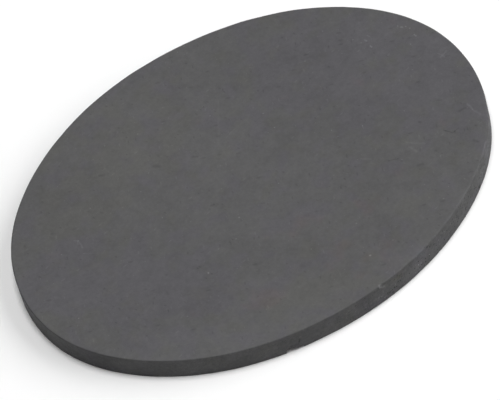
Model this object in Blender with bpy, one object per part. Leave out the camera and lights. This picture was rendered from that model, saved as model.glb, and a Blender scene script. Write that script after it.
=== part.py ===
"""Basalt massage stone: a thin oval plate, sawn from a slab and cut to its outline by hand.

The whole object is one piece of rock. Lengths are in metres. The origin is at the middle of the
underside, +X runs along the oval's length, +Y across it and +Z up. A bearing is in degrees,
anticlockwise from +X as seen from above, and it is the ellipse's own angle.
"""

import math

import bmesh
import bpy
from mathutils import Matrix, Vector

# The plate.
LENGTH = 0.200
WIDTH = 0.154
THICKNESS = 0.0103
OUTLINE_POINTS = 240

# The arris is the small bevel that use has worn along the upper and lower edges.
ARRIS_WIDTH = 0.0005
ARRIS_STEPS = 2
ARRIS_LEAST_ANGLE = 60.0

# The hand-cut outline swells and dips: (waves in a turn, height of a wave, bearing of a crest).
OUTLINE_WAVES = (
    (3, 0.00014, 65.0),
    (4, 0.00011, 32.0),
    (5, 0.00009, 36.5),
    (6, 0.00006, 26.5),
    (8, 0.00010, 16.0),
)

# Flakes broken from the edges: (name, edge, bearing, length along the rim, height, depth inwards).
# The notch is a deep flake with a shallow tail beside it.
FLAKES = (
    ("notch", "lower", 253.9, 0.0046, 0.0026, 0.0030),
    ("notch_tail", "lower", 255.5, 0.0050, 0.0009, 0.0014),
    ("front_flake", "upper", 277.7, 0.0026, 0.0014, 0.0008),
    ("back_flake", "lower", 118.0, 0.0046, 0.0012, 0.0010),
    ("back_nick", "lower", 64.0, 0.0032, 0.0009, 0.0008),
    ("end_nick", "lower", 14.0, 0.0036, 0.0008, 0.0009),
)
FLAKE_ROUNDNESS = 2

# The stone's finish.
STONE_COLOUR = (0.076, 0.0755, 0.077, 1.0)
STONE_ROUGHNESS = 0.85
SMOOTH_UP_TO = 30.0


def remove_all_objects():
    """Empties the scene."""
    for item in list(bpy.data.objects):
        bpy.data.objects.remove(item, do_unlink=True)


def uneven_ellipse(turn):
    """Returns the point of the outline at an angle in radians, before it is centred."""
    swell = 0.0
    for waves, height, crest in OUTLINE_WAVES:
        swell += height * math.cos(waves * (turn - math.radians(crest)))
    along = (LENGTH / 2 + swell) * math.cos(turn)
    across = (WIDTH / 2 + swell) * math.sin(turn)
    return Vector((along, across, 0.0))


def plate_outline():
    """Returns the outline's points, anticlockwise, with the middle of their box at the origin."""
    points = [uneven_ellipse(math.tau * step / OUTLINE_POINTS) for step in range(OUTLINE_POINTS)]
    middle = Vector((0.0, 0.0, 0.0))
    for axis in (0, 1):
        values = [point[axis] for point in points]
        middle[axis] = (min(values) + max(values)) / 2
    return [point - middle for point in points]


def rim_place(outline, bearing):
    """Returns the outline's point at a bearing, and the direction that the rim runs in there."""
    position = bearing / 360.0 * len(outline)
    before = outline[math.floor(position) % len(outline)]
    after = outline[(math.floor(position) + 1) % len(outline)]
    return before.lerp(after, position % 1.0), (after - before).normalized()


def linked_object(name, shape):
    """Makes a mesh object from a bmesh, and puts it in the scene."""
    mesh = bpy.data.meshes.new(name)
    shape.to_mesh(mesh)
    shape.free()
    item = bpy.data.objects.new(name, mesh)
    bpy.context.collection.objects.link(item)
    return item


def stone_material():
    """Makes the dull, dark grey finish of ground basalt."""
    material = bpy.data.materials.new("basalt")
    material.use_nodes = True
    shader = material.node_tree.nodes["Principled BSDF"]
    shader.inputs["Base Color"].default_value = STONE_COLOUR
    shader.inputs["Roughness"].default_value = STONE_ROUGHNESS
    shader.inputs["Metallic"].default_value = 0.0
    return material


def add_plate(outline):
    """Makes the slab by raising the outline, and bevels the arris round both of its faces."""
    shape = bmesh.new()
    underside = shape.faces.new([shape.verts.new(point) for point in outline])
    raised = bmesh.ops.extrude_face_region(shape, geom=[underside])["geom"]
    top = [part for part in raised if isinstance(part, bmesh.types.BMVert)]
    bmesh.ops.translate(shape, verts=top, vec=(0.0, 0.0, THICKNESS))
    bmesh.ops.recalc_face_normals(shape, faces=shape.faces)
    plate = linked_object("stone_plate", shape)
    bevel = plate.modifiers.new("arris", "BEVEL")
    bevel.limit_method = "ANGLE"
    bevel.angle_limit = math.radians(ARRIS_LEAST_ANGLE)
    bevel.width = ARRIS_WIDTH
    bevel.segments = ARRIS_STEPS
    return plate


def add_flake_cutter(outline, name, edge, bearing, length, height, depth):
    """Makes the rounded lump of stone that broke away, centred on the edge it broke from."""
    place, along = rim_place(outline, bearing)
    place.z = THICKNESS if edge == "upper" else 0.0
    up = Vector((0.0, 0.0, 1.0))
    outwards = along.cross(up)
    turned = Matrix((along, outwards, up)).transposed().to_4x4()
    sized = Matrix.Diagonal((length / 2, depth, height, 1.0))
    shape = bmesh.new()
    bmesh.ops.create_icosphere(shape, subdivisions=FLAKE_ROUNDNESS, radius=1.0)
    bmesh.ops.transform(shape, matrix=turned @ sized, verts=shape.verts)
    bmesh.ops.recalc_face_normals(shape, faces=shape.faces)
    cutter = linked_object(name, shape)
    cutter.location = place
    cutter.hide_render = True
    cutter.display_type = "WIRE"
    return cutter


def cut_away(item, cutter):
    """Takes a cutter's shape out of an object."""
    cut = item.modifiers.new(cutter.name, "BOOLEAN")
    cut.operation = "DIFFERENCE"
    cut.solver = "EXACT"
    cut.object = cutter


def build():
    """Makes the stone."""
    remove_all_objects()
    outline = plate_outline()
    plate = add_plate(outline)
    for flake in FLAKES:
        cut_away(plate, add_flake_cutter(outline, *flake))
    plate.data.materials.append(stone_material())
    plate.data.shade_smooth()
    plate.data.set_sharp_from_angle(angle=math.radians(SMOOTH_UP_TO))


build()
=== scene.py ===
"""Looks of the basalt massage stone: a worn, hand-cut plate of fine-grained rock on a pale floor.

Lengths are in metres. A bearing is in degrees, anticlockwise from +X as seen from above. On the
rim it is the ellipse's own angle, as in the CAD.
"""

import math
import random

import bpy
import numpy as np
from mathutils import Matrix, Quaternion, Vector, noise


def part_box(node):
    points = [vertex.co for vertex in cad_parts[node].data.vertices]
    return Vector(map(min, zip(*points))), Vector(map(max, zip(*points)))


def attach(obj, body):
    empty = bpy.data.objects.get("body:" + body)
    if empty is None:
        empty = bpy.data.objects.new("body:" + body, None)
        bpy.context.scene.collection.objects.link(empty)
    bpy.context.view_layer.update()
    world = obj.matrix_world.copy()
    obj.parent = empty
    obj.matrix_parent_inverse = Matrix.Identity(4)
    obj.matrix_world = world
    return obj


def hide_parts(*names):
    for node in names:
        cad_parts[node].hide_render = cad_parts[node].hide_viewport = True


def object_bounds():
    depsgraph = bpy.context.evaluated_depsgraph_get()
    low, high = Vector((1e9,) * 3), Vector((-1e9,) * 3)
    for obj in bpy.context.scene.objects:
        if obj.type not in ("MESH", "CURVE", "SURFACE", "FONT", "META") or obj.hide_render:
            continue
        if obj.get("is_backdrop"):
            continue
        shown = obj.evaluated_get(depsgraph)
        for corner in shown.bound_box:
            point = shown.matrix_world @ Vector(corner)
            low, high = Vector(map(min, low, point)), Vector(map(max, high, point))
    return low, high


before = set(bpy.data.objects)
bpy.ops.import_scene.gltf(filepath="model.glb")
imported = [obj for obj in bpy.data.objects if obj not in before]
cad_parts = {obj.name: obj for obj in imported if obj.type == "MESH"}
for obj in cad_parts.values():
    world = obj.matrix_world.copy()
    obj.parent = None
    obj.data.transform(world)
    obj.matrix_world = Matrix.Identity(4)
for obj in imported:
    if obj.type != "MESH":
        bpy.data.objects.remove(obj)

# The CAD plate, which the visible stone stands for.
PLATE = "stone_plate"
SLOT = "basalt"
CAD_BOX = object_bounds()
LOW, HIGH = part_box(PLATE)
LENGTH, WIDTH, THICKNESS = HIGH - LOW

# The outline's swells, as in the CAD: (waves in a turn, height of a wave, bearing of a crest).
OUTLINE_WAVES = (
    (3, 0.00014, 65.0),
    (4, 0.00011, 32.0),
    (5, 0.00009, 36.5),
    (6, 0.00006, 26.5),
    (8, 0.00010, 16.0),
)

# Flakes broken from the edges, as in the CAD:
# (edge, bearing, length along the rim, height, depth inwards).
FLAKES = (
    ("lower", 253.9, 0.0046, 0.0026, 0.0030),
    ("lower", 255.5, 0.0050, 0.0009, 0.0014),
    ("upper", 277.7, 0.0026, 0.0014, 0.0008),
    ("lower", 118.0, 0.0046, 0.0012, 0.0010),
    ("lower", 64.0, 0.0032, 0.0009, 0.0008),
    ("lower", 14.0, 0.0036, 0.0008, 0.0009),
)
FLAKE_ROUGHNESS = 0.22
FLAKE_ROUGHNESS_SIZE = 0.0012

# Small nicks along both edges: how many, their lengths, and their height and depth as shares of it.
NICKS = {"upper": 60, "lower": 70}
NICK_LENGTHS = (0.0006, 0.0017)
NICK_SHORTENING = (0.6, 1.0)
NICK_HEIGHT = 0.36
NICK_DEPTH = 0.22
# The share of the upper edge's nicks that gather where use has worn it.
NICKS_WORN_SHARE = 0.5
NICK_SEED = 5

# The short crack in the rim above the notch: (bearing, height) of each bend.
CRACK = ((255.7, 0.0036), (256.0, 0.0048), (256.2, 0.0060))
CRACK_WIDTH = 0.00045
CRACK_DEPTH = 0.00030

# Pits in the rim, seeded at random: how many, their heights as shares of the thickness, and sizes.
PITS = 60
PIT_HEIGHTS = (0.1, 0.9)
PIT_RADII = (0.0004, 0.0009)
PIT_DEPTH = 0.00018
PIT_SEED = 11

# The mesh. A ring on the rim has COLUMNS points; rings nearer a face's middle have fewer.
# Columns crowd together towards the front, where the notch is.
COLUMNS = 1536
FACE_COLUMNS = 192
CENTRE_COLUMNS = 24
CROWDED_BEARING = 268.0
CROWDING = 0.35
ARRIS_STEPS = 5
RIM_STEP = 0.00045
EDGE_WIDTH = 0.0035
EDGE_RINGS = 6
SHARP_ANGLE = 38.0
# How many points the outline's box is measured from, and the angle that its slope is taken over.
OUTLINE_SAMPLES = 7200
SLOPE_ANGLE = 0.0005

# The arris's radius, how much it varies along the rim, and the stretch that use has rounded more.
ARRIS = 0.00050
ARRIS_VARIATION = 0.35
ARRIS_PATCH = 0.009
WORN_BEARING = 300.0
WORN_HALF = 42.0
WORN_EXTRA = 0.00030

# Unevenness of the worked stone: (size of a swelling, depth).
FACE_UNEVENNESS = ((0.030, 0.00007), (0.007, 0.00002))
RIM_UNEVENNESS = ((0.011, 0.00012), (0.0024, 0.00006), (0.0009, 0.00004))

# The texture map: where each face's middle and the rim's strips lie, and their scales per metre.
UPPER_PATCH = (0.365, 0.280, 3.55)
LOWER_PATCH = (0.300, 0.780, 2.85)
RIM_PATCH = (0.730, 0.010, 5.15)
RIM_STRIPS = 3
RIM_PITCH = 0.075

# The stone's colour, and how much lighter or darker its rim, edges and breaks are, painted shade
# included.
STONE_COLOUR = (0.0762, 0.0757, 0.0772)
# The rim is darker partly in its own colour and partly as painted shade, for the dim light on its
# upright side.
RIM_TONE_AND_SHADE = 0.62
# The edges' darkness is painted shade, which tones down the light that the arris catches from the
# lamps.
ARRIS_PAINTED_SHADE = -0.18
BROKEN_TONE = 0.22

# The worn edge is lighter in patches: their tone, size, the noise they fade in over, and its seed.
WORN_TONE = 0.10
WORN_PATCH = 0.0045
WORN_PATCH_FADE = (0.38, 0.66)
WORN_PATCH_SEED = 91.0

# How many finer octaves the noise for patches has, and the noise for a scratch's wobble.
PATCH_DETAIL = 2.0
WOBBLE_DETAIL = 1.0

# Tone of the rock, from cloudy patches down to its grain: (size, strength, detail, noise seed).
TONE_LAYERS = (
    (0.055, 0.08, 2.0, 1.0),
    (0.016, 0.10, 3.0, 2.0),
    (0.0042, 0.15, 2.0, 3.0),
    (0.0013, 0.110, 2.0, 4.0),
    (0.0005, 0.110, 1.0, 5.0),
)
RIM_TONE_LAYERS = (
    (0.0070, 0.22, 2.0, 11.0),
    (0.0011, 0.22, 2.0, 12.0),
)

# Patches of another hue: (size, colour at its strongest, start, seed, where most of them lie).
# A patch shows where noise passes its start. Its places are ((start), (end), half-width).
VIOLET = (1.000, 0.982, 1.050)
OLIVE = (1.004, 1.004, 0.958)
RUSTY = (1.062, 0.985, 0.990)
HUE_LAYERS = (
    (0.011, VIOLET, 0.50, 21.0, (
        ((0.050, 0.034), (0.090, -0.008), 0.046),
        ((-0.078, 0.002), (-0.045, -0.035), 0.030),
    )),
    (0.010, OLIVE, 0.53, 22.0, (
        ((-0.060, 0.030), (-0.020, 0.045), 0.028),
        ((-0.020, -0.060), (0.005, -0.066), 0.018),
    )),
    (0.012, RUSTY, 0.65, 23.0, (
        ((0.034, -0.042), (0.018, -0.058), 0.024),
        ((0.002, -0.038), (-0.004, -0.042), 0.012),
        ((-0.022, -0.050), (-0.024, -0.054), 0.012),
    )),
)
# How much the noise is lifted at those places, and how far past its start a patch is strongest.
HUE_LIFT = 0.22
HUE_FADE = 0.14

# Scattered small things, long ones along a bearing:
# (bearing, stretch, spacing, radius, share of places that have one, tone, seed).
# A spot is whole inside SPOT_CORE of its radius, and fades from there outwards.
SPOT_CORE = 0.4
SPOTS = (
    (0.0, 1.0, 0.0034, 0.00040, 0.14, 0.60, 31.0),
    (0.0, 1.0, 0.0014, 0.00024, 0.14, 0.46, 32.0),
    (-24.0, 2.6, 0.0026, 0.00060, 0.18, -0.20, 33.0),
    (-70.0, 1.9, 0.0015, 0.00040, 0.12, -0.24, 34.0),
    (10.0, 3.0, 0.0022, 0.00042, 0.16, 0.22, 35.0),
    (70.0, 3.2, 0.0019, 0.00038, 0.16, 0.20, 36.0),
    (66.0, 3.0, 0.0017, 0.00038, 0.10, -0.22, 37.0),
)
SCRATCHES = (
    (20.0, 50.0, 0.0009, 0.00017, 0.018, 0.22, 51.0),
    (74.0, 38.0, 0.0009, 0.00016, 0.016, 0.22, 52.0),
    (-38.0, 60.0, 0.0010, 0.00017, 0.014, 0.16, 53.0),
)
# How far a scratch strays from a straight line, and over what length.
SCRATCH_WOBBLE = 0.0005
SCRATCH_WOBBLE_SIZE = 0.0026
RIM_SPOTS = (
    (0.0, 1.0, 0.0011, 0.00042, 0.32, -0.42, 41.0),
    (0.0, 1.0, 0.0012, 0.00036, 0.26, 0.52, 42.0),
)
# The rim's spots gather low down and at one end: where they are strongest, and where weakest.
SPOTTED_HEIGHTS = (0.0030, 0.0080)
SPOTTED_LENGTHS = (0.0350, -0.0250)
FEWEST_SPOTS = 0.30

# Marks on the upper face: ((start), (end), half-width, tone).
FACE_MARKS = (
    # Wide pale washes. The first four are painted light, which makes the face lighter in broad patches
    # and along its front edge.
    ((-0.020, 0.040), (0.004, -0.010), 0.0500, 0.055),
    ((-0.066, -0.056), (-0.030, -0.068), 0.0260, 0.070),
    ((0.008, 0.046), (0.009, 0.026), 0.0130, 0.035),
    ((-0.034, -0.0700), (0.036, -0.0705), 0.0110, 0.070),
    ((0.059, -0.024), (0.062, -0.061), 0.0048, 0.070),
    ((-0.046, -0.054), (-0.029, -0.049), 0.0042, 0.060),
    ((0.0363, 0.0030), (0.0244, -0.0160), 0.0010, 0.050),
    ((0.0115, 0.0418), (0.0002, 0.0232), 0.0008, 0.080),
    # Light specks.
    ((-0.0124, -0.0134), (-0.0124, -0.0134), 0.00060, 0.90),
    ((-0.0119, -0.0119), (-0.0119, -0.0119), 0.00045, 0.50),
    ((-0.0358, -0.0285), (-0.0358, -0.0285), 0.00070, 1.10),
    ((-0.0350, -0.0298), (-0.0350, -0.0298), 0.00050, -0.50),
    ((-0.0342, -0.0229), (-0.0342, -0.0229), 0.00045, 0.50),
    ((-0.0267, -0.0210), (-0.0267, -0.0210), 0.00055, 0.45),
    ((-0.0284, -0.0027), (-0.0284, -0.0027), 0.00050, 0.45),
    ((-0.0459, 0.0205), (-0.0459, 0.0205), 0.00050, 0.35),
    ((0.0177, -0.0617), (0.0177, -0.0617), 0.00075, 1.10),
    ((0.0545, -0.0566), (0.0545, -0.0566), 0.00060, 0.80),
    ((0.0380, -0.0710), (0.0380, -0.0710), 0.00050, 0.80),
    # Bruises near the end: clusters of bright specks.
    ((0.0872, 0.0276), (0.0872, 0.0276), 0.00070, 0.60),
    ((0.0880, 0.0263), (0.0884, 0.0258), 0.00055, 0.75),
    ((0.0895, 0.0253), (0.0895, 0.0253), 0.00060, 0.80),
    ((0.0903, 0.0236), (0.0903, 0.0236), 0.00060, 0.80),
    ((0.0901, 0.0195), (0.0903, 0.0188), 0.00060, 0.60),
    ((0.0939, 0.0270), (0.0942, 0.0262), 0.00050, 0.45),
    ((0.0715, 0.0298), (0.0715, 0.0298), 0.00055, 0.50),
    ((0.0733, 0.0300), (0.0735, 0.0292), 0.00055, 0.70),
    ((0.0733, 0.0260), (0.0735, 0.0252), 0.00055, 0.75),
    ((0.0753, 0.0313), (0.0757, 0.0300), 0.00040, 0.40),
    ((0.0919, 0.0055), (0.0932, 0.0024), 0.00060, 0.27),
    ((0.0917, 0.0030), (0.0955, 0.0044), 0.00060, 0.29),
    ((0.0985, -0.0140), (0.0980, -0.0200), 0.00050, 0.45),
    # Curved and straight scratches.
    ((-0.0693, 0.0189), (-0.0679, 0.0175), 0.00060, 0.30),
    ((-0.0679, 0.0175), (-0.0683, 0.0137), 0.00060, 0.34),
    ((0.0873, -0.0234), (0.0872, -0.0271), 0.00065, 0.34),
    ((0.0872, -0.0271), (0.0883, -0.0312), 0.00065, 0.26),
    ((0.0824, -0.0244), (0.0856, -0.0245), 0.00080, -0.25),
    ((0.0727, -0.0286), (0.0749, -0.0317), 0.00045, -0.35),
    ((0.0749, -0.0317), (0.0778, -0.0315), 0.00045, -0.35),
    ((0.0582, -0.0242), (0.0636, -0.0290), 0.00070, 0.20),
    ((0.0581, -0.0267), (0.0588, -0.0305), 0.00085, 0.20),
    ((0.0399, -0.0193), (0.0429, -0.0220), 0.00070, 0.18),
    ((0.0479, -0.0272), (0.0514, -0.0291), 0.00050, -0.30),
    # Dark bruises and pores.
    ((0.0557, -0.0368), (0.0575, -0.0375), 0.00130, -0.20),
    ((0.0677, -0.0186), (0.0680, -0.0192), 0.00080, -0.30),
    ((-0.0259, 0.0302), (-0.0237, 0.0283), 0.00110, -0.22),
    ((-0.0109, 0.0241), (-0.0098, 0.0230), 0.00070, -0.28),
    ((-0.0450, 0.0401), (-0.0435, 0.0392), 0.00090, -0.24),
    ((-0.0331, 0.0405), (-0.0325, 0.0400), 0.00060, -0.25),
    ((-0.0540, 0.0240), (-0.0532, 0.0232), 0.00080, -0.22),
    ((-0.0745, 0.0275), (-0.0738, 0.0270), 0.00070, -0.20),
    ((0.0792, -0.0402), (0.0802, -0.0418), 0.00080, -0.30),
)
# Marks on the rim and its edges: ((bearing, height), (bearing, height), half-width, tone).
RIM_MARKS = (
    # Round the notch and its crack.
    ((253.5, 0.0038), (253.6, 0.0037), 0.0006, -0.40),
    ((254.0, 0.0029), (254.2, 0.0028), 0.0005, -0.20),
    ((255.0, 0.0024), (255.2, 0.0024), 0.0005, -0.20),
    ((256.0, 0.0014), (256.2, 0.0014), 0.0005, -0.20),
    ((255.5, 0.0034), (255.6, 0.0032), 0.0006, -0.40),
    ((256.5, 0.0019), (256.6, 0.0018), 0.0005, -0.35),
    ((256.0, 0.0040), (256.1, 0.0058), 0.0006, -0.50),
    ((256.5, 0.0069), (256.5, 0.0069), 0.0007, 0.45),
    ((250.0, 0.0026), (250.1, 0.0024), 0.0006, -0.40),
    ((252.0, 0.0094), (252.1, 0.0092), 0.0006, -0.35),
    ((261.0, 0.0009), (261.0, 0.0009), 0.0006, -0.45),
    ((261.2, 0.0013), (261.2, 0.0013), 0.0004, 0.60),
    # The front flake, and the pits beside it. The dark marks for the pits are painted shade.
    ((277.1, 0.0102), (278.2, 0.0084), 0.0013, 0.90),
    ((279.5, 0.0070), (279.6, 0.0069), 0.0006, -0.50),
    ((282.0, 0.0090), (282.1, 0.0088), 0.0006, -0.55),
    ((280.5, 0.0035), (280.6, 0.0034), 0.0006, -0.40),
    ((281.4, 0.0076), (281.5, 0.0072), 0.0006, 0.35),
    ((282.5, 0.0018), (282.6, 0.0018), 0.0007, -0.40),
    ((281.0, 0.0016), (281.0, 0.0016), 0.0005, 0.60),
    # Along the worn edge, with a pale stretch of rim under it.
    ((285.5, 0.0050), (293.0, 0.0050), 0.0075, 0.20),
    ((318.0, 0.0070), (336.0, 0.0070), 0.0090, 0.10),
    ((287.3, 0.0101), (290.5, 0.0102), 0.0008, 0.28),
    ((282.6, 0.0102), (284.0, 0.0102), 0.0007, 0.20),
    ((294.0, 0.0101), (294.0, 0.0101), 0.0006, 0.45),
    ((246.0, 0.0102), (246.0, 0.0102), 0.0005, 0.50),
    ((257.6, 0.0102), (257.6, 0.0102), 0.0006, 0.60),
    ((262.4, 0.0102), (262.4, 0.0102), 0.0006, 0.45),
    # A dark pit in the rim, painted as shade.
    ((314.9, 0.0021), (315.3, 0.0010), 0.0013, -0.90),
    # Streaks round the end.
    ((315.6, 0.0101), (318.4, 0.0102), 0.0008, 0.34),
    ((320.5, 0.0102), (325.5, 0.0102), 0.0008, 0.40),
    ((316.0, 0.0042), (317.4, 0.0066), 0.0006, 0.34),
    ((311.0, 0.0046), (312.0, 0.0060), 0.0006, -0.40),
    ((318.0, 0.0082), (320.0, 0.0062), 0.0006, -0.38),
    ((322.0, 0.0074), (325.0, 0.0058), 0.0006, 0.40),
    ((324.0, 0.0090), (327.5, 0.0080), 0.0006, -0.34),
    ((328.0, 0.0060), (331.0, 0.0074), 0.0006, -0.36),
    ((330.0, 0.0094), (334.0, 0.0082), 0.0007, 0.36),
)
# Stains on the rim: the same, with a hue in place of a tone.
RIM_STAINS = (
    ((281.0, 0.0080), (282.2, 0.0074), 0.0022, (1.03, 1.02, 0.88)),
    ((289.0, 0.0098), (290.2, 0.0080), 0.0018, (0.95, 1.02, 1.01)),
)

# The grain's relief: (size, height, detail, noise seed), and the roughness that goes with it.
RELIEF_LAYERS = (
    (0.0030, 0.000016, 2.0, 61.0),
    (0.0008, 0.000012, 2.0, 62.0),
    (0.0003, 0.000006, 1.0, 63.0),
)
RIM_RELIEF_LAYERS = (
    (0.0016, 0.000060, 2.0, 71.0),
    (0.0005, 0.000034, 2.0, 72.0),
)
# Lines that the saw left round the rim: (length, width, depth, detail, noise seed).
SAW_LINES = (0.0160, 0.00042, 0.000030, 1.0, 73.0)
# How deep the scratches and the rim's dark pores are in the relief.
SCRATCH_DEPTH = 0.000012
PIT_RELIEF = 0.000060
FACE_ROUGHNESS = 0.74
RIM_ROUGHNESS = 0.80
ROUGHNESS_LAYERS = (
    (0.024, 0.16, 2.0, 81.0),
    (0.0018, 0.16, 2.0, 82.0),
)
WORN_ROUGHNESS = -0.10

# How far apart the seeded patterns are taken from their noise.
SEED_STEP = 0.031

# The camera: where it looks, and from where.
CAMERA_TARGET = Vector((-0.00334, -0.00477, THICKNESS / 2))
CAMERA_BEARING = -108.7
CAMERA_ELEVATION = 50.8
CAMERA_ROLL = -16.4
CAMERA_DISTANCE = 1.943
CAMERA_LENS = 360.0
SENSOR = 36.0

# The light: a dim room, and soft lamps as (name, bearing, elevation, spread, strength).
ROOM_LIGHT = 0.08
LAMPS = (
    ("overhead", 20.0, 87.0, 26.0, 1.92),
    ("key", -18.0, 27.0, 66.0, 2.60),
)

# The floor, and the low glowing backdrop at its edges, for cameras about 3 degrees above the floor.
FLOOR_SIZE = 16.0
FLOOR_COLOUR = (0.97, 0.97, 0.97, 1.0)
BACKDROP_HEIGHT = 0.2
BACKDROP_GLOW = 1.0


# The outline.

def uneven_ellipse(turn):
    """Returns the outline's points at angles in radians, before it is fitted to the CAD's box."""
    swell = np.zeros(len(turn))
    for waves, height, crest in OUTLINE_WAVES:
        swell += height * np.cos(waves * (turn - math.radians(crest)))
    along = (LENGTH / 2 + swell) * np.cos(turn)
    across = (WIDTH / 2 + swell) * np.sin(turn)
    return np.column_stack((along, across))


def outline_at(turn):
    """Returns the outline's points at angles in radians, and the outward direction at each."""
    whole = uneven_ellipse(np.linspace(0, math.tau, OUTLINE_SAMPLES))
    low, high = whole.min(axis=0), whole.max(axis=0)
    scale = np.array((LENGTH, WIDTH)) / (high - low)
    points = (uneven_ellipse(turn) - (low + high) / 2) * scale
    forwards = (uneven_ellipse(turn + SLOPE_ANGLE) - uneven_ellipse(turn - SLOPE_ANGLE)) * scale
    forwards /= np.linalg.norm(forwards, axis=1, keepdims=True)
    return points, np.column_stack((forwards[:, 1], -forwards[:, 0]))


def rim_place(bearing, height):
    """Returns a place on the rim, and the directions along and out of it there."""
    points, outwards = outline_at(np.radians([bearing]))
    out = np.array((*outwards[0], 0.0))
    along = np.array((-out[1], out[0], 0.0))
    return np.array((*points[0], height)), along, out


def column_turns():
    """Returns the angle of each of the mesh's columns, in radians."""
    even = np.arange(COLUMNS) * math.tau / COLUMNS
    return even - CROWDING * np.sin(even - math.radians(CROWDED_BEARING))


# The rings of the mesh. A ring is (positions, normals).

def noise_at(points, size):
    """Returns smooth noise, from -1 to 1, whose swellings have a size."""
    return np.array([noise.noise(Vector(point) / size) for point in points])


def arris_sizes(turn, points, upper):
    """Returns the arris's radius at each column, for the upper or the lower edge."""
    height = THICKNESS if upper else 0.0
    places = np.column_stack((points, np.full(len(points), height)))
    sizes = ARRIS * (1 + ARRIS_VARIATION * noise_at(places, ARRIS_PATCH))
    if upper:
        sizes += WORN_EXTRA * wear(turn)
    return sizes


def wear(turn):
    """Returns how much use has rounded the upper edge at angles in radians, from 0 to 1."""
    away = np.degrees(turn) - WORN_BEARING
    away = (away + 180) % 360 - 180
    return np.cos(np.clip(away / WORN_HALF, -1, 1) * math.pi / 2) ** 2


def inner_rings():
    """Lists (share of the outline's size, points) for the rings of a face, from its edge inwards."""
    rings = []
    share, count = 1.0, COLUMNS
    while count > CENTRE_COLUMNS:
        count //= 2
        last = min(share, count / FACE_COLUMNS / 2)
        share *= 1 - math.tau / count
        rings.append((share, count))
        while share > last:
            share *= 1 - math.tau / count
            rings.append((share, count))
    return rings


def face_rings(height, up, points, outwards, arris):
    """Makes the rings of one face, from its middle to its arris."""
    inset = points - outwards * EDGE_WIDTH
    flat = [inset[:: COLUMNS // count] * share for share, count in reversed(inner_rings())]
    for step in range(EDGE_RINGS, 0, -1):
        width = arris + (EDGE_WIDTH - arris) * step / EDGE_RINGS
        flat.append(points - outwards * width[:, None])
    rings = []
    for ring in flat:
        positions = np.column_stack((ring, np.full(len(ring), height)))
        rings.append((positions, np.tile((0.0, 0.0, up), (len(ring), 1))))
    return rings


def rim_rings(points, outwards, upper, lower):
    """Makes the rings of the arrises and the rim, from the upper face to the lower one."""
    profile = []
    for step in range(ARRIS_STEPS + 1):
        angle = math.pi / 2 * (1 - step / ARRIS_STEPS)
        height = THICKNESS - upper * (1 - math.sin(angle))
        profile.append((upper * (1 - math.cos(angle)), height, angle))
    rows = round(THICKNESS / RIM_STEP)
    for row in range(1, rows):
        height = (THICKNESS - upper) * (1 - row / rows) + lower * row / rows
        profile.append((np.zeros(COLUMNS), height, 0.0))
    for step in range(ARRIS_STEPS + 1):
        angle = -math.pi / 2 * step / ARRIS_STEPS
        profile.append((lower * (1 - math.cos(angle)), lower * (1 + math.sin(angle)), angle))
    rings = []
    for inset, height, angle in profile:
        positions = np.column_stack((points - outwards * inset[:, None], height))
        normals = np.column_stack((outwards * math.cos(angle), np.full(COLUMNS, math.sin(angle))))
        rings.append((positions, normals))
    return rings


def band(first, second):
    """Lists the faces between two rings, each given as (index of its first point, points)."""
    start_a, count_a = first
    start_b, count_b = second
    faces = []
    if count_a == count_b:
        for i in range(count_a):
            j = (i + 1) % count_a
            faces.append((start_a + i, start_b + i, start_b + j, start_a + j))
    elif count_a < count_b:
        for i in range(count_a):
            here, there = start_a + i, start_a + (i + 1) % count_a
            left, middle = start_b + 2 * i, start_b + 2 * i + 1
            right = start_b + (2 * i + 2) % count_b
            faces += [(here, left, middle), (here, middle, there), (there, middle, right)]
    else:
        for i in range(count_b):
            here, there = start_b + i, start_b + (i + 1) % count_b
            left, middle = start_a + 2 * i, start_a + 2 * i + 1
            right = start_a + (2 * i + 2) % count_a
            faces += [(left, here, middle), (middle, here, there), (middle, there, right)]
    return faces


def ring_faces(rings):
    """Lists the faces that join all the rings, with a fan at each end to two last points."""
    counts = [len(ring[0]) for ring in rings]
    starts = np.cumsum([0] + counts).tolist()
    spans = list(zip(starts, counts))
    faces = []
    for first, second in zip(spans, spans[1:]):
        faces += band(first, second)
    upper_middle = starts[-1]
    lower_middle = upper_middle + 1
    last, count = spans[-1]
    for i in range(count):
        j = (i + 1) % count
        faces.append((upper_middle, i, j))
        faces.append((lower_middle, last + j, last + i))
    return faces


# The shape's wear. Each step moves points inwards, so that the stone stays inside the CAD's.

def swellings(points, sizes):
    """Returns how far each point sinks, from 0 to the sum of the depths, for given swelling sizes."""
    sunk = np.zeros(len(points))
    for size, depth in sizes:
        sunk += depth * (0.5 + 0.5 * np.clip(noise_at(points, size), -1, 1))
    return sunk


def break_flake(points, edge, bearing, size):
    """Moves the points inside a flake's ellipsoid to its rough wall. Returns which points moved."""
    height = THICKNESS if edge == "upper" else 0.0
    place, along, out = rim_place(bearing, height)
    away = np.array((0.0, 0.0, 1.0 if edge == "upper" else -1.0))
    axes = np.array((along, out, away))
    local = (points - place) @ axes.T / size
    distance = np.linalg.norm(local, axis=1)
    near = np.flatnonzero(distance < 1 + 2 * FLAKE_ROUGHNESS)
    wall = 1 + FLAKE_ROUGHNESS * noise_at(points[near], FLAKE_ROUGHNESS_SIZE)
    inside = distance[near] < wall
    moved, wall = near[inside], wall[inside]
    inwards = np.array((0.0, -math.sqrt(0.5), -math.sqrt(0.5)))
    start = local[moved]
    across = start @ inwards
    reach = across * across - (start * start).sum(axis=1) + wall ** 2
    start += inwards * (np.sqrt(reach) - across)[:, None]
    points[moved] = place + (start * size) @ axes
    return moved


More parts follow.
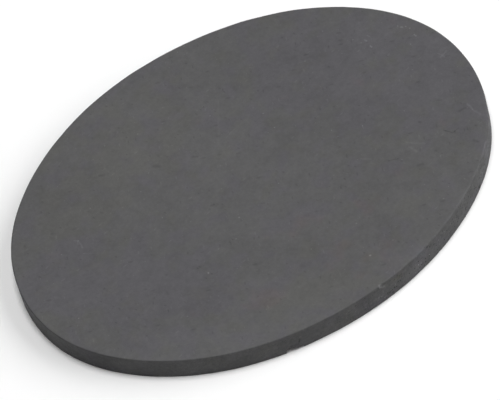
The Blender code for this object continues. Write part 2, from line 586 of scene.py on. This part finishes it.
def break_flakes(points):
    """Breaks the flakes and small nicks from the edges. Returns 1 for points on the flakes' walls."""
    broken = np.zeros(len(points))
    for edge, bearing, length, height, depth in FLAKES:
        broken[break_flake(points, edge, bearing, (length / 2, depth, height))] = 1.0
    draw = random.Random(NICK_SEED)
    for edge, count in NICKS.items():
        for _ in range(count):
            bearing = draw.uniform(0, 360)
            if edge == "upper" and draw.random() < NICKS_WORN_SHARE:
                bearing = draw.gauss(WORN_BEARING, WORN_HALF / 2)
            length = draw.uniform(*NICK_LENGTHS) * draw.uniform(*NICK_SHORTENING)
            size = (length / 2, length * NICK_DEPTH, length * NICK_HEIGHT)
            break_flake(points, edge, bearing, size)
    return broken


def press_pits(points, normals):
    """Presses small round pits into the rim."""
    draw = random.Random(PIT_SEED)
    for _ in range(PITS):
        place, _, _ = rim_place(draw.uniform(0, 360), draw.uniform(*PIT_HEIGHTS) * THICKNESS)
        radius = draw.uniform(*PIT_RADII)
        share = np.linalg.norm(points - place, axis=1) / radius
        depth = PIT_DEPTH * np.clip(1 - share * share, 0, 1)
        points -= normals * depth[:, None]


def open_crack(points, normals):
    """Opens the crack above the notch, as a narrow groove."""
    bends = [rim_place(bearing, height)[0] for bearing, height in CRACK]
    for start, end in zip(bends, bends[1:]):
        run = end - start
        share = np.clip((points - start) @ run / (run @ run), 0, 1)
        distance = np.linalg.norm(points - start - share[:, None] * run, axis=1)
        depth = CRACK_DEPTH * np.clip(1 - distance / CRACK_WIDTH, 0, 1)
        points -= normals * depth[:, None]


# The texture map.

def strip_places(turn, profile_lengths):
    """Returns, for the rim's points, their distance along the outline and down its profile."""
    points, _ = outline_at(np.append(turn, turn[0] + math.tau))
    steps = np.linalg.norm(np.diff(points, axis=0), axis=1)
    return np.concatenate(((0.0,), np.cumsum(steps))), np.cumsum(profile_lengths)


def rim_texture(rows, columns, along, down):
    """Returns the map places of one rim face's corners, from their rows and columns."""
    first = min(columns)
    # The last face of a row ends at the first column, which counts there as one past the last.
    if max(columns) - first > 1:
        columns = [column or COLUMNS for column in columns]
        first = COLUMNS - 1
    strip = first * RIM_STRIPS // COLUMNS
    left, base, scale = RIM_PATCH
    begin = along[strip * COLUMNS // RIM_STRIPS]
    return [
        (left + strip * RIM_PITCH + down[row] * scale, base + (along[column] - begin) * scale)
        for row, column in zip(rows, columns)
    ]


def map_texture(mesh, rings, turn, rim_rows):
    """Lays out the texture map: each face of the stone as it is, and the rim in strips."""
    first_row, last_row = rim_rows
    starts = np.cumsum([0] + [len(ring[0]) for ring in rings])
    lengths = np.zeros(last_row - first_row + 1)
    for row in range(first_row + 1, last_row + 1):
        lengths[row - first_row] = np.linalg.norm(rings[row][0][0] - rings[row - 1][0][0])
    along, down = strip_places(turn, lengths)
    layer = mesh.uv_layers.new(name="OFBake")
    places = np.empty((len(mesh.loops), 2))
    rim_start, rim_end = starts[first_row], starts[last_row + 1]
    for face in mesh.polygons:
        corners = list(face.vertices)
        if min(corners) >= rim_start and max(corners) < rim_end:
            rows = [(corner - rim_start) // COLUMNS for corner in corners]
            columns = [(corner - rim_start) % COLUMNS for corner in corners]
            found = rim_texture(rows, columns, along, down)
        else:
            found = [face_texture(mesh.vertices[corner].co, face.center.z) for corner in corners]
        places[face.loop_start:face.loop_start + face.loop_total] = found
    layer.data.foreach_set("uv", places.ravel())


def face_texture(place, height):
    """Returns the map place of a point on the upper or the lower face."""
    if height > THICKNESS / 2:
        middle_x, middle_y, scale = UPPER_PATCH
        return middle_x + place.x * scale, middle_y + place.y * scale
    middle_x, middle_y, scale = LOWER_PATCH
    return middle_x - place.x * scale, middle_y + place.y * scale


# The stone's mesh.

def mark_points(mesh, values):
    """Stores named values on the mesh's points, for the material. The two middles get 0."""
    for name, numbers in values.items():
        attribute = mesh.attributes.new(name, "FLOAT", "POINT")
        attribute.data.foreach_set("value", np.append(numbers, (0.0, 0.0)))


def stone_rings():
    """Makes the stone's rings. Returns them with the columns' angles and the rim's first and last."""
    turn = column_turns()
    points, outwards = outline_at(turn)
    upper = arris_sizes(turn, points, True)
    lower = arris_sizes(turn, points, False)
    top = face_rings(THICKNESS, 1.0, points, outwards, upper)
    rim = rim_rings(points, outwards, upper, lower)
    bottom = face_rings(0.0, -1.0, points, outwards, lower)[::-1]
    return top + rim + bottom, turn, (len(top), len(top) + len(rim) - 1)


def stone_mesh():
    """Makes the stone's mesh, worn and chipped, with its texture map and point values."""
    rings, turn, rim_rows = stone_rings()
    positions = np.concatenate([ring[0] for ring in rings])
    normals = np.concatenate([ring[1] for ring in rings])
    rimness = np.linalg.norm(normals[:, :2], axis=1)
    arris = 1 - np.abs(2 * rimness ** 2 - 1)
    angles = np.arctan2(positions[:, 1] / WIDTH, positions[:, 0] / LENGTH)
    worn = arris * (normals[:, 2] > 0) * wear(angles)
    sunk = (1 - rimness) * swellings(positions, FACE_UNEVENNESS)
    sunk += rimness * swellings(positions, RIM_UNEVENNESS)
    positions -= normals * sunk[:, None]
    press_pits(positions, normals)
    open_crack(positions, normals)
    broken = break_flakes(positions)
    middles = np.array(((0.0, 0.0, positions[0][2]), (0.0, 0.0, positions[-1][2])))
    mesh = bpy.data.meshes.new("stone")
    mesh.from_pydata(np.concatenate((positions, middles)).tolist(), [], ring_faces(rings))
    mark_points(mesh, {"rimness": rimness, "arris": arris, "worn": worn, "broken": broken})
    map_texture(mesh, rings, turn, rim_rows)
    mesh.shade_smooth()
    mesh.set_sharp_from_angle(angle=math.radians(SHARP_ANGLE))
    return mesh


# Helpers that build the material's nodes. An input is a number, a colour or another node's socket.

def add_node(tree, kind, inputs=None, **settings):
    """Adds a node with its settings and inputs, and returns it."""
    made = tree.nodes.new(kind)
    for name, value in settings.items():
        setattr(made, name, value)
    for name, value in (inputs or {}).items():
        if isinstance(value, bpy.types.NodeSocket):
            tree.links.new(value, made.inputs[name])
        else:
            made.inputs[name].default_value = value
    return made


def calculate(tree, operation, first, second=0.0):
    """Adds a sum on two numbers, and returns its result."""
    return add_node(tree, "ShaderNodeMath", {0: first, 1: second}, operation=operation).outputs[0]


def vector_sum(tree, operation, first, second=None, scale=None):
    """Adds a sum on vectors, and returns the node."""
    inputs = {0: first}
    if second is not None:
        inputs[1] = second
    if scale is not None:
        inputs["Scale"] = scale
    return add_node(tree, "ShaderNodeVectorMath", inputs, operation=operation)


def fade(tree, value, start, end):
    """Returns a number that goes smoothly from 0 to 1 while a value goes from start to end."""
    inputs = {"Value": value, "From Min": start, "From Max": end}
    made = add_node(tree, "ShaderNodeMapRange", inputs, interpolation_type="SMOOTHSTEP", clamp=False)
    return made.outputs["Result"]


def point_value(tree, name):
    """Returns one of the values that are stored on the mesh's points."""
    return add_node(tree, "ShaderNodeAttribute", attribute_name=name).outputs["Fac"]


def moved(tree, place, seed):
    """Returns a place moved far off, by a seed, so that no two patterns are alike."""
    offset = (seed * SEED_STEP, 0.0, seed * SEED_STEP)
    return vector_sum(tree, "ADD", place, offset).outputs["Vector"]


def noise_value(tree, place, size, detail, seed):
    """Returns noise from 0 to 1, with 0.5 in the middle, whose swellings have a size."""
    inputs = {"Vector": moved(tree, place, seed), "Scale": 1 / size, "Detail": detail}
    return add_node(tree, "ShaderNodeTexNoise", inputs).outputs["Fac"]


def add_up(tree, total, value, strength):
    """Returns total + value * strength."""
    inputs = {0: value, 1: strength, 2: total}
    return add_node(tree, "ShaderNodeMath", inputs, operation="MULTIPLY_ADD").outputs[0]


def add_layers(tree, total, place, layers):
    """Adds layers of noise to a total. Each is (size, strength, detail, seed)."""
    for size, strength, detail, seed in layers:
        value = noise_value(tree, place, size, detail, seed)
        total = add_up(tree, total, calculate(tree, "SUBTRACT", value, 0.5), 2 * strength)
    return total


def scattered(tree, place, spots):
    """Returns 1 on scattered small spots, and 0 off them."""
    bearing, stretch, spacing, radius, share, _, seed = spots
    if stretch > 1.0:
        inputs = {"Vector": place, "Rotation": (0.0, 0.0, math.radians(-bearing))}
        place = add_node(tree, "ShaderNodeMapping", inputs).outputs["Vector"]
        place = vector_sum(tree, "MULTIPLY", place, (1 / stretch, 1.0, 1.0)).outputs["Vector"]
    inputs = {"Vector": moved(tree, place, seed), "Scale": 1 / spacing}
    cells = add_node(tree, "ShaderNodeTexVoronoi", inputs)
    spot = fade(tree, cells.outputs["Distance"], radius / spacing, SPOT_CORE * radius / spacing)
    pick = add_node(tree, "ShaderNodeSeparateColor", {"Color": cells.outputs["Color"]}).outputs["Red"]
    return calculate(tree, "MULTIPLY", spot, calculate(tree, "LESS_THAN", pick, share))


def wobbled(tree, place):
    """Returns a place that wanders a little, so that a line drawn there isn't straight."""
    inputs = {"Vector": place, "Scale": 1 / SCRATCH_WOBBLE_SIZE, "Detail": WOBBLE_DETAIL}
    wander = add_node(tree, "ShaderNodeTexNoise", inputs).outputs["Color"]
    centred = vector_sum(tree, "SUBTRACT", wander, (0.5, 0.5, 0.5)).outputs["Vector"]
    offset = vector_sum(tree, "SCALE", centred, scale=2 * SCRATCH_WOBBLE).outputs["Vector"]
    return vector_sum(tree, "ADD", place, offset).outputs["Vector"]


def mark_group():
    """Makes the node group that tells whether a place is on a mark: a line with a soft edge."""
    group = bpy.data.node_groups.new("mark", "ShaderNodeTree")
    for name in ("Place", "Start", "Run"):
        group.interface.new_socket(name=name, in_out="INPUT", socket_type="NodeSocketVector")
    group.interface.new_socket(name="Width", in_out="INPUT", socket_type="NodeSocketFloat")
    group.interface.new_socket(name="Mask", in_out="OUTPUT", socket_type="NodeSocketFloat")
    ends = group.nodes.new("NodeGroupInput").outputs
    away = vector_sum(group, "SUBTRACT", ends["Place"], ends["Start"]).outputs["Vector"]
    dot = vector_sum(group, "DOT_PRODUCT", away, ends["Run"]).outputs["Value"]
    square = vector_sum(group, "DOT_PRODUCT", ends["Run"], ends["Run"]).outputs["Value"]
    share = calculate(group, "DIVIDE", dot, square)
    share = calculate(group, "MINIMUM", calculate(group, "MAXIMUM", share, 0.0), 1.0)
    nearest = vector_sum(group, "SCALE", ends["Run"], scale=share).outputs["Vector"]
    offset = vector_sum(group, "SUBTRACT", away, nearest).outputs["Vector"]
    distance = vector_sum(group, "LENGTH", offset).outputs["Value"]
    mask = fade(group, calculate(group, "DIVIDE", distance, ends["Width"]), 1.0, 0.0)
    add_node(group, "NodeGroupOutput", {"Mask": mask})


def mark_mask(tree, place, start, end, width):
    """Returns 1 on a mark between two points of the stone, and 0 off it."""
    inputs = {"Place": place, "Start": start, "Run": end - start, "Width": width}
    group = bpy.data.node_groups["mark"]
    return add_node(tree, "ShaderNodeGroup", inputs, node_tree=group).outputs["Mask"]


def on_face(place):
    """Returns the point of the upper face over a place in its plane."""
    return Vector((*place, THICKNESS))


def on_rim(place):
    """Returns the point of the rim at a (bearing, height)."""
    return Vector(rim_place(*place)[0])


def add_marks(tree, total, place):
    """Adds the tones of the listed marks to a total."""
    # Some wide washes on the face are painted light, and the dark marks for the rim's pits are painted
    # shade.
    for marks, point_at in ((FACE_MARKS, on_face), (RIM_MARKS, on_rim)):
        for start, end, width, tone in marks:
            mask = mark_mask(tree, place, point_at(start), point_at(end), width)
            total = add_up(tree, total, mask, tone)
    return total


def add_spots(tree, total, place, layers):
    """Adds the tones of layers of scattered spots to a total."""
    for spots in layers:
        *_, tone, _ = spots
        total = add_up(tree, total, scattered(tree, place, spots), tone)
    return total


# The basalt.

def worn_patches(tree, place):
    """Returns how much lighter use has left the worn edge, in patches."""
    value = noise_value(tree, place, WORN_PATCH, PATCH_DETAIL, WORN_PATCH_SEED)
    patches = fade(tree, value, *WORN_PATCH_FADE)
    return calculate(tree, "MULTIPLY", point_value(tree, "worn"), patches)


def rim_tone_and_shade(tree, place):
    """Returns how light the rim is against the faces: partly its own tone, partly painted shade."""
    tone = add_layers(tree, RIM_TONE_AND_SHADE, place, RIM_TONE_LAYERS)
    parts = add_node(tree, "ShaderNodeSeparateXYZ", {"Vector": place}).outputs
    low = fade(tree, parts["Z"], SPOTTED_HEIGHTS[1], SPOTTED_HEIGHTS[0])
    towards_end = fade(tree, parts["X"], SPOTTED_LENGTHS[1], SPOTTED_LENGTHS[0])
    strength = calculate(tree, "ADD", towards_end, low)
    strength = add_up(tree, FEWEST_SPOTS, calculate(tree, "MULTIPLY", strength, towards_end), 1.0)
    spots = add_spots(tree, 0.0, place, RIM_SPOTS)
    return add_up(tree, tone, spots, strength)


def stone_tone(tree, place, strayed, rim):
    """Returns how light the stone is, where 1 is its own colour on a face, with painted light and
    shade added.
    """
    tone = add_layers(tree, 1.0, place, TONE_LAYERS)
    tone = add_spots(tree, tone, place, SPOTS)
    tone = add_spots(tree, tone, strayed, SCRATCHES)
    tone = add_marks(tree, tone, strayed)
    # Painted shade on the edges.
    tone = add_up(tree, tone, point_value(tree, "arris"), ARRIS_PAINTED_SHADE)
    tone = add_up(tree, tone, worn_patches(tree, place), WORN_TONE)
    tone = add_up(tree, tone, point_value(tree, "broken"), BROKEN_TONE)
    # The rim's tone, which is partly painted shade.
    difference = calculate(tree, "SUBTRACT", rim_tone_and_shade(tree, place), 1.0)
    return calculate(tree, "MULTIPLY", tone, add_up(tree, 1.0, difference, rim))


def tinted(tree, colour, hue, mask):
    """Returns a colour that is multiplied by a hue where a mask is 1."""
    changed = vector_sum(tree, "MULTIPLY", colour, hue).outputs["Vector"]
    inputs = {"Factor": mask, 4: colour, 5: changed}
    return add_node(tree, "ShaderNodeMix", inputs, data_type="VECTOR").outputs[1]


def stone_colour(tree, place, tone):
    """Returns the stone's colour: its own, with patches of other hues, made lighter or darker."""
    colour = vector_sum(tree, "SCALE", STONE_COLOUR, scale=tone).outputs["Vector"]
    for size, hue, first, seed, regions in HUE_LAYERS:
        value = noise_value(tree, place, size, PATCH_DETAIL, seed)
        for start, end, width in regions:
            mask = mark_mask(tree, place, on_face(start), on_face(end), width)
            value = add_up(tree, value, mask, HUE_LIFT)
        colour = tinted(tree, colour, hue, fade(tree, value, first, first + HUE_FADE))
    for start, end, width, hue in RIM_STAINS:
        mask = mark_mask(tree, place, on_rim(start), on_rim(end), width)
        colour = tinted(tree, colour, hue, mask)
    return colour


def stone_relief(tree, place, strayed, rim):
    """Returns the height of the stone's fine relief, in metres."""
    height = add_layers(tree, 0.0, place, RELIEF_LAYERS)
    for scratches in SCRATCHES:
        height = add_up(tree, height, scattered(tree, strayed, scratches), -SCRATCH_DEPTH)
    length, width, depth, detail, seed = SAW_LINES
    rough = add_layers(tree, 0.0, place, RIM_RELIEF_LAYERS)
    squeeze = (width / length, width / length, 1.0)
    squeezed = vector_sum(tree, "MULTIPLY", place, squeeze).outputs["Vector"]
    rough = add_layers(tree, rough, squeezed, ((width, depth, detail, seed),))
    rough = add_up(tree, rough, scattered(tree, place, RIM_SPOTS[0]), -PIT_RELIEF)
    return add_up(tree, height, rough, rim)


def stone_roughness(tree, place, rim):
    """Returns the stone's roughness: the rim is rougher, and the worn edge smoother."""
    roughness = add_layers(tree, FACE_ROUGHNESS, place, ROUGHNESS_LAYERS)
    roughness = add_up(tree, roughness, rim, RIM_ROUGHNESS - FACE_ROUGHNESS)
    return add_up(tree, roughness, point_value(tree, "worn"), WORN_ROUGHNESS)


def basalt():
    """Makes the material."""
    material = bpy.data.materials.new(SLOT)
    material.use_nodes = True
    tree = material.node_tree
    shader = tree.nodes["Principled BSDF"]
    place = add_node(tree, "ShaderNodeTexCoord").outputs["Object"]
    strayed = wobbled(tree, place)
    rim = point_value(tree, "rimness")
    mark_group()
    tone = stone_tone(tree, place, strayed, rim)
    tree.links.new(stone_colour(tree, place, tone), shader.inputs["Base Color"])
    tree.links.new(stone_roughness(tree, place, rim), shader.inputs["Roughness"])
    relief = stone_relief(tree, place, strayed, rim)
    bump = add_node(tree, "ShaderNodeBump", {"Height": relief, "Strength": 1.0, "Distance": 1.0})
    tree.links.new(bump.outputs["Normal"], shader.inputs["Normal"])
    return material


# The studio.

def floor_corners(height):
    """Returns the floor's four corners at a height, in order round it."""
    half = FLOOR_SIZE / 2
    return [(-half, -half, height), (half, -half, height), (half, half, height), (-half, half, height)]


def add_stage(name, corners, faces):
    """Makes a studio surface with a plain material, and returns the material's shader."""
    mesh = bpy.data.meshes.new(name)
    mesh.from_pydata(corners, [], faces)
    material = bpy.data.materials.new(name)
    material.use_nodes = True
    shader = material.node_tree.nodes["Principled BSDF"]
    shader.inputs["Base Color"].default_value = FLOOR_COLOUR
    shader.inputs["Roughness"].default_value = 1.0
    shader.inputs["Specular IOR Level"].default_value = 0.0
    mesh.materials.append(material)
    surface = bpy.data.objects.new(name, mesh)
    bpy.context.scene.collection.objects.link(surface)
    surface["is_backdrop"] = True
    return shader


def add_studio():
    """Makes the pale floor that the stone lies on, and the low white backdrop at its far edges."""
    add_stage("floor", floor_corners(0.0), [(0, 1, 2, 3)])
    sides = [(side, (side + 1) % 4, (side + 1) % 4 + 4, side + 4) for side in range(4)]
    shader = add_stage("backdrop", floor_corners(0.0) + floor_corners(BACKDROP_HEIGHT), sides)
    shader.inputs["Emission Color"].default_value = (1.0, 1.0, 1.0, 1.0)
    shader.inputs["Emission Strength"].default_value = BACKDROP_GLOW


def direction(bearing, elevation):
    """Returns the unit vector that points towards a bearing and an elevation, in degrees."""
    turn, rise = math.radians(bearing), math.radians(elevation)
    flat = math.cos(rise)
    return Vector((flat * math.cos(turn), flat * math.sin(turn), math.sin(rise)))


def add_lamp(name, bearing, elevation, spread, strength):
    """Makes a soft light that comes from a bearing and an elevation, all in degrees."""
    data = bpy.data.lights.new(name, "SUN")
    data.angle = math.radians(spread)
    data.energy = strength
    light = bpy.data.objects.new(name, data)
    light.rotation_mode = "QUATERNION"
    light.rotation_quaternion = direction(bearing, elevation).to_track_quat("Z", "Y")
    bpy.context.scene.collection.objects.link(light)


def add_light():
    """Makes the studio light: a dim room and the lamps."""
    world = bpy.data.worlds.new("studio")
    world.use_nodes = True
    background = world.node_tree.nodes["Background"]
    background.inputs["Color"].default_value = (1.0, 1.0, 1.0, 1.0)
    background.inputs["Strength"].default_value = ROOM_LIGHT
    bpy.context.scene.world = world
    for lamp in LAMPS:
        add_lamp(*lamp)


def add_camera():
    """Makes the camera."""
    back = direction(CAMERA_BEARING, CAMERA_ELEVATION)
    data = bpy.data.cameras.new("camera")
    data.lens = CAMERA_LENS
    data.sensor_width = SENSOR
    camera = bpy.data.objects.new("camera", data)
    camera.location = CAMERA_TARGET + back * CAMERA_DISTANCE
    camera.rotation_mode = "QUATERNION"
    level = back.to_track_quat("Z", "Y")
    camera.rotation_quaternion = level @ Quaternion((0.0, 0.0, 1.0), math.radians(CAMERA_ROLL))
    bpy.context.scene.collection.objects.link(camera)
    bpy.context.scene.camera = camera


def add_stone():
    """Makes the visible stone, which stands for the CAD plate."""
    mesh = stone_mesh()
    mesh.materials.append(basalt())
    stone = bpy.data.objects.new("basalt_stone", mesh)
    bpy.context.scene.collection.objects.link(stone)
    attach(stone, "root")
    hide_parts(PLATE)


def write_sizes():
    """Gathers the CAD's box and the visible model's box as lists."""
    boxes = {"cad": CAD_BOX, "visual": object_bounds()}
    boxes = {name: [list(corner) for corner in box] for name, box in boxes.items()}


bpy.context.scene.view_settings.view_transform = "Standard"
add_studio()
add_light()
add_camera()
add_stone()
write_sizes()
